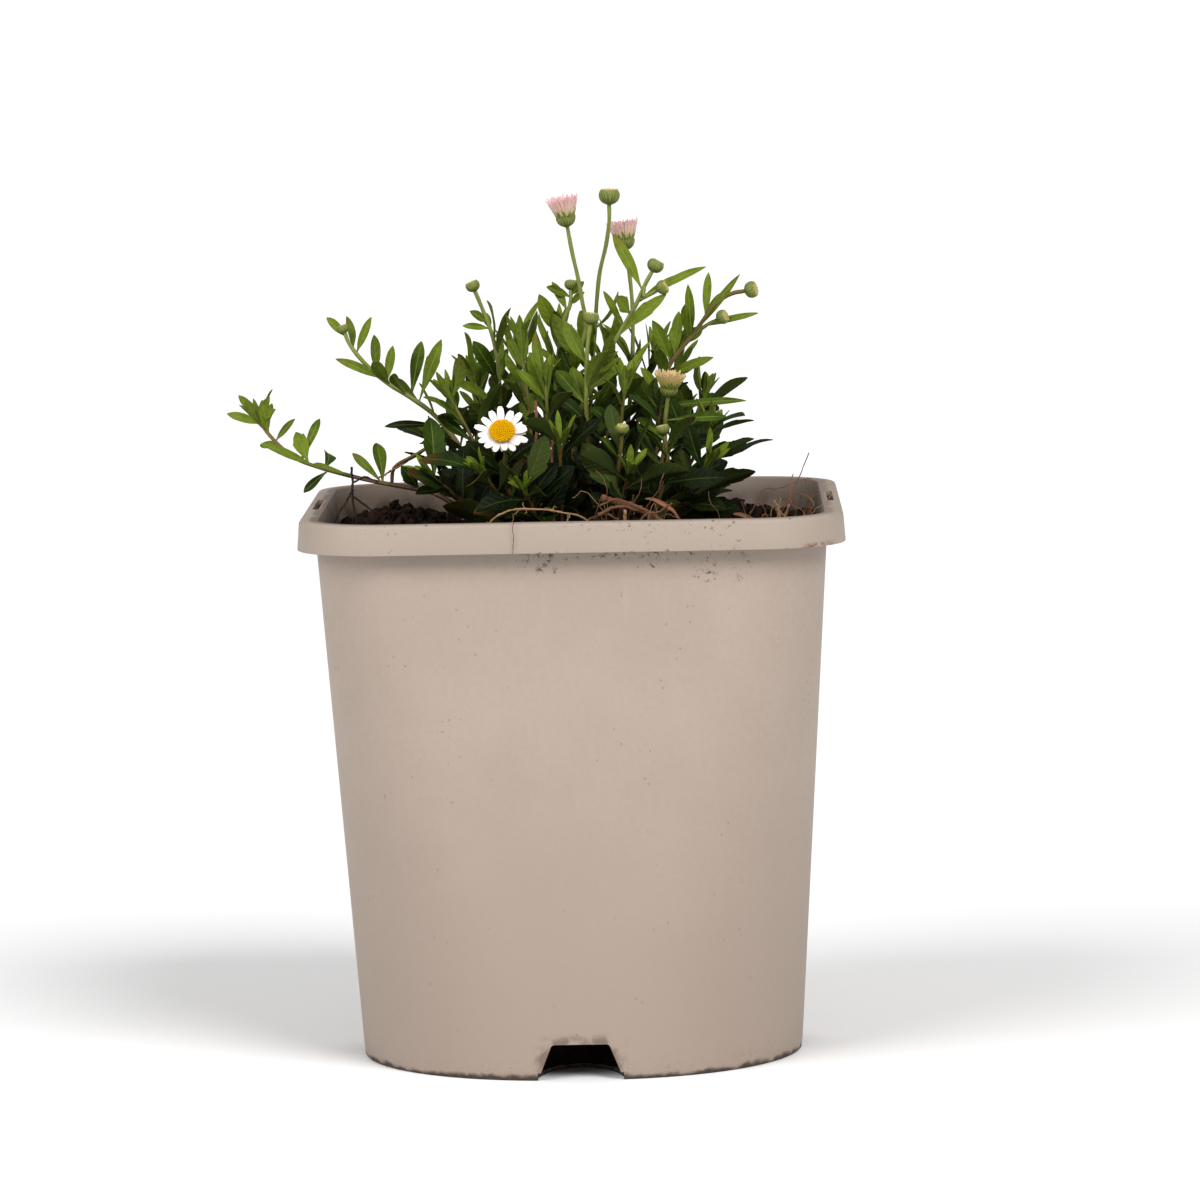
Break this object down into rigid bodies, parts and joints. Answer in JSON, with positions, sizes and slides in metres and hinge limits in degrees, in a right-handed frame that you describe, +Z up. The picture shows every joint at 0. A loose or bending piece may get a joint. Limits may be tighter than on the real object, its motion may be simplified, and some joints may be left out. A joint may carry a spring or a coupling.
{
  "type": "potted mexican fleabane",
  "caption": "Leafy clump of mexican fleabane with a daisy head, half-open heads and buds, in a square-topped plastic nursery pot.",
  "frame": {"origin": "centre of the pot's flat underside", "axes": "+Z up along the pot's axis, -Y towards the side that the picture shows"},
  "size_m": [0.1687, 0.15, 0.241],
  "materials": {
    "pot_plastic": "moulded taupe plastic, satin, faint draw marks",
    "soil": "dark moist potting mix, lumpy and matt",
    "living_green": "living leaf and stem, matt green with paler stalks",
    "pink_ray": "pink petal back with a paler edge",
    "cream_ray": "cream petal back with a pink tip",
    "white_ray": "white petal, faintly pink at the tips",
    "yellow_disc": "golden yellow florets, matt",
    "dry_stem": "dry brown root and stalk, matt"
  },
  "bodies": {
    "root": {"pot": "pot_plastic", "soil": "soil", "stem_left_runner": "living_green", "stem_left_rising": "living_green", "stem_bud_top_left": "living_green", "stem_pink_left": "living_green", "stem_bud_top": "living_green", "stem_pink_right": "living_green", "stem_bud_right": "living_green", "stem_bud_far_right": "living_green", "stem_cream": "living_green", "stem_bud_low": "living_green", "stem_daisy": "living_green", "stem_bud_middle": "living_green", "stem_bud_front_mid": "living_green", "stem_bud_front": "living_green", "stem_leafy_01": "living_green", "stem_leafy_02": "living_green", "stem_leafy_03": "living_green", "stem_leafy_04": "living_green", "stem_leafy_05": "living_green", "stem_leafy_06": "living_green", "stem_leafy_07": "living_green", "stem_leafy_08": "living_green", "stem_leafy_09": "living_green", "stem_leafy_10": "living_green", "stem_leafy_11": "living_green", "stem_leafy_12": "living_green", "stem_leafy_13": "living_green", "stem_leafy_14": "living_green", "stem_leafy_15": "living_green", "stem_leafy_16": "living_green", "stem_leafy_17": "living_green", "stem_leafy_18": "living_green", "stem_leafy_19": "living_green", "stem_leafy_20": "living_green", "stem_leafy_21": "living_green", "stem_leafy_22": "living_green", "rays_pink_left": "pink_ray", "rays_pink_right": "pink_ray", "rays_cream": "cream_ray", "rays_daisy": "white_ray", "disc_daisy": "yellow_disc", "dry_root_arc": "dry_stem", "dry_stalk_right": "dry_stem", "dry_stick_back": "dry_stem", "dry_bark": "dry_stem"}
  },
  "joints": []
}
